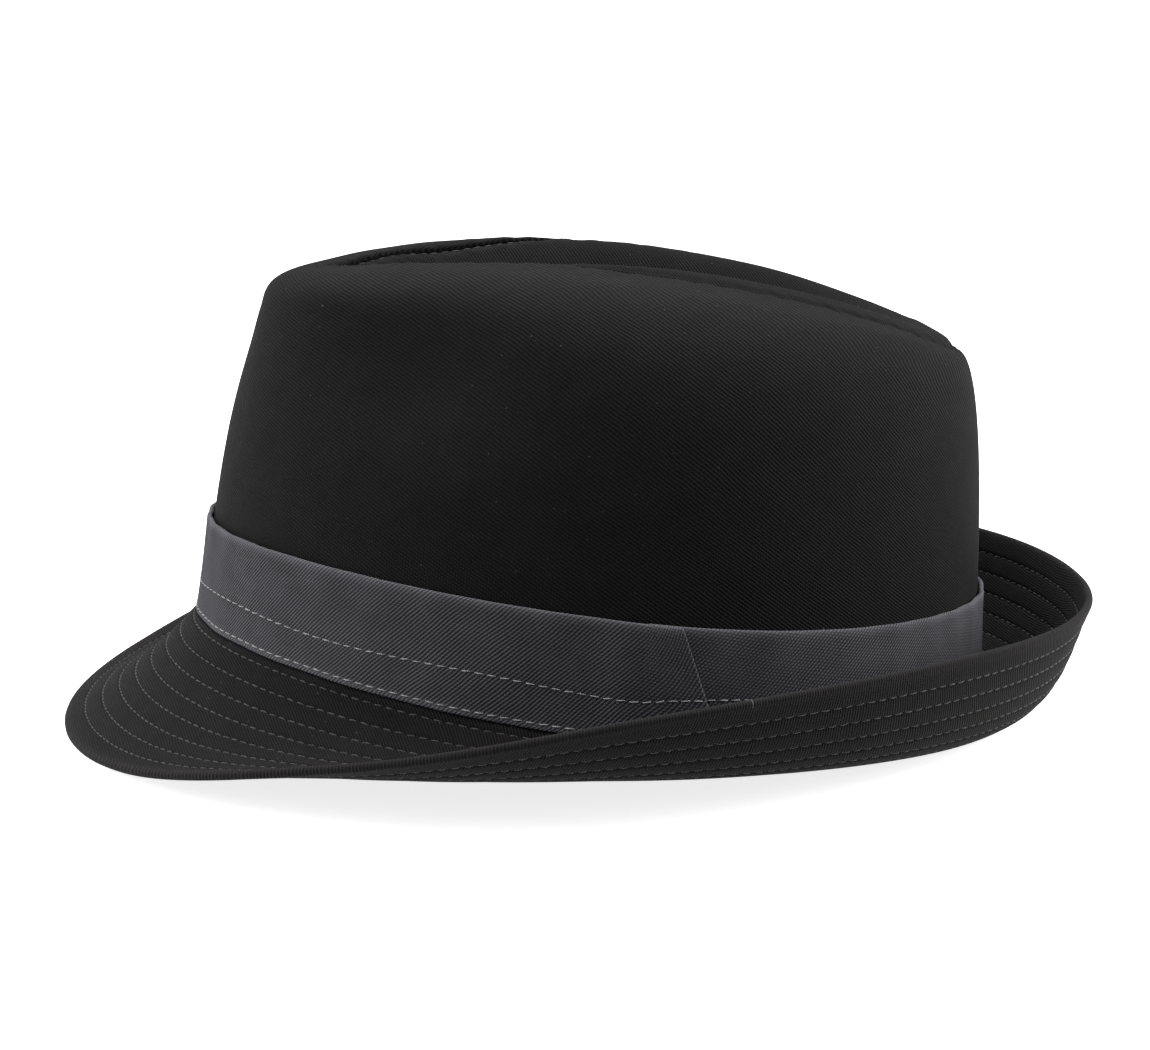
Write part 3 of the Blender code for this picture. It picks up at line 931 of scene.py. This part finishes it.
class TRILBY_OT_crown(Operator):
    """Make the crown: its wall, the teardrop tip and the thread in the seam between them"""

    bl_idname = "trilby.crown"
    bl_label = "Crown"

    def execute(self, context):
        hat, dye = context.scene.trilby_sizes, context.scene.trilby_colours
        wall = twill("crown twill", dye.crown_rib, dye.crown_valley_shade, dye.lint, BLACK_RIB_PITCH, -24.0)
        tip = twill("tip twill", dye.crown_rib, dye.crown_valley_shade, dye.lint, BLACK_RIB_PITCH, 38.0)
        place_piece(make_crown_wall(hat, wall), "crown_side")
        place_piece(make_tip_panel(hat, tip), "crown_tip")
        stitches = make_tip_stitches(hat, thread("tip thread", dye.tip_thread, 0.7))
        place_piece(stitches, "crown_tip")
        return {"FINISHED"}


class TRILBY_OT_band(Operator):
    """Make the grey band and its two rows of stitches"""

    bl_idname = "trilby.band"
    bl_label = "Band"

    def execute(self, context):
        hat, dye = context.scene.trilby_sizes, context.scene.trilby_colours
        cool = (0.94, 0.93, 1.0)
        dyes = (dye.band_rib, dye.band_valley_shade, dye.lint)
        cloth = twill("band twill", *dyes, GREY_RIB_PITCH, 52.0, sheen=0.12, sheen_tint=cool)
        place_piece(make_band_cloth(hat, cloth), "hat_band")
        stitches = make_band_stitches(hat, thread("band thread", dye.band_thread, 0.6))
        place_piece(stitches, "hat_band")
        return {"FINISHED"}


class TRILBY_OT_brim(Operator):
    """Make the quilted brim and the stitches on both its sides"""

    bl_idname = "trilby.brim"
    bl_label = "Brim"

    def execute(self, context):
        hat, dye = context.scene.trilby_sizes, context.scene.trilby_colours
        cloth = twill("brim twill", dye.brim_rib, dye.brim_valley_shade, dye.lint, BLACK_RIB_PITCH, 8.0)
        place_piece(make_brim_cloth(hat, cloth), "brim")
        for stitches in make_brim_stitches(hat, thread("brim thread", dye.brim_thread, 0.6)):
            place_piece(stitches, "brim")
        return {"FINISHED"}


def soft_light(name, place, target, size, power):
    """A square softbox that faces its target."""
    lamp = bpy.data.lights.new(name, "AREA")
    lamp.shape = "SQUARE"
    lamp.size = size
    lamp.energy = power
    box = bpy.data.objects.new(name, lamp)
    box.location = place
    box.rotation_euler = (Vector(target) - Vector(place)).to_track_quat("-Z", "Y").to_euler()
    bpy.context.scene.collection.objects.link(box)


class TRILBY_OT_stage(Operator):
    """Make the pale floor, the studio light and the camera"""

    bl_idname = "trilby.stage"
    bl_label = "Stage"

    def execute(self, context):
        dye = context.scene.trilby_colours
        far = 6.0
        mesh = bpy.data.meshes.new("floor")
        corners = [(-far, -far, 0.0), (far, -far, 0.0), (far, far, 0.0), (-far, far, 0.0)]
        mesh.from_pydata(corners, [], [(0, 1, 2, 3)])
        n = Nodes("floor paper")
        world_place = n.tree.nodes.new("ShaderNodeTexCoord").outputs["Object"]
        grain = n.math("MULTIPLY_ADD", n.noise(world_place, 40.0), 0.02, 0.99)
        tone = n.add("ShaderNodeCombineColor", Red=grain, Green=grain, Blue=grain)
        n.link(n.mix(1.0, rgba(dye.floor), tone, "MULTIPLY"), n.shader.inputs["Base Color"])
        n.shader.inputs["Roughness"].default_value = 0.9
        n.shader.inputs["Emission Color"].default_value = (1.0, 1.0, 1.0, 1.0)
        n.shader.inputs["Emission Strength"].default_value = 0.80
        mesh.materials.append(n.material)
        floor = bpy.data.objects.new("floor", mesh)
        context.scene.collection.objects.link(floor)
        floor.visible_diffuse = False
        floor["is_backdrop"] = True
        world = context.scene.world or bpy.data.worlds.new("studio")
        context.scene.world = world
        world.use_nodes = True
        world.node_tree.nodes["Background"].inputs["Color"].default_value = (1.0, 1.0, 1.0, 1.0)
        world.node_tree.nodes["Background"].inputs["Strength"].default_value = 0.30
        soft_light("front softbox", (0.15, -1.3, 0.55), (0.0, -0.05, 0.06), 0.8, 14.0)
        soft_light("rear softbox", (0.0, 1.3, 0.55), (0.0, 0.05, 0.06), 0.8, 19.0)
        soft_light("overhead softbox", (-0.35, 0.0, 1.5), (0.0, 0.0, 0.05), 1.2, 27.0)
        eye, look = Vector((0.7845, -0.0729, 0.2150)), Vector((-0.974, 0.0897, -0.2079))
        lens = bpy.data.cameras.new("camera")
        lens.sensor_width = 36.0
        lens.lens = 97.4
        lens.clip_end = 50.0
        camera = bpy.data.objects.new("camera", lens)
        camera.location = eye
        camera.rotation_euler = look.to_track_quat("-Z", "Y").to_euler()
        context.scene.collection.objects.link(camera)
        context.scene.camera = camera
        context.scene.view_settings.view_transform = "Standard"
        return {"FINISHED"}


STEPS = (TRILBY_OT_crown, TRILBY_OT_band, TRILBY_OT_brim, TRILBY_OT_stage)


class TRILBY_PT_sidebar(Panel):
    """The trilby's steps, sizes and colours"""

    bl_idname = "TRILBY_PT_sidebar"
    bl_label = "Trilby"
    bl_space_type = "VIEW_3D"
    bl_region_type = "UI"
    bl_category = "Trilby"

    def draw(self, context):
        for step in STEPS:
            self.layout.operator(step.bl_idname)
        for group in (context.scene.trilby_sizes, context.scene.trilby_colours):
            column = self.layout.column(align=True)
            for key in type(group).__annotations__:
                column.prop(group, key)


CLASSES = (TrilbySizes, TrilbyColours, *STEPS, TRILBY_PT_sidebar)


def register():
    for cls in CLASSES:
        bpy.utils.register_class(cls)
    bpy.types.Scene.trilby_sizes = PointerProperty(type=TrilbySizes)
    bpy.types.Scene.trilby_colours = PointerProperty(type=TrilbyColours)


def unregister():
    del bpy.types.Scene.trilby_colours
    del bpy.types.Scene.trilby_sizes
    for cls in reversed(CLASSES):
        bpy.utils.unregister_class(cls)


def main():
    register()
    find_standing_place(bpy.context.scene.trilby_sizes)
    bpy.ops.trilby.crown()
    bpy.ops.trilby.band()
    bpy.ops.trilby.brim()
    bpy.ops.trilby.stage()
    boxes = {"cad": CAD_BOX, "visual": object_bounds()}
    {name: [list(corner) for corner in box] for name, box in boxes.items()}


if __name__ == "__main__":
    main()
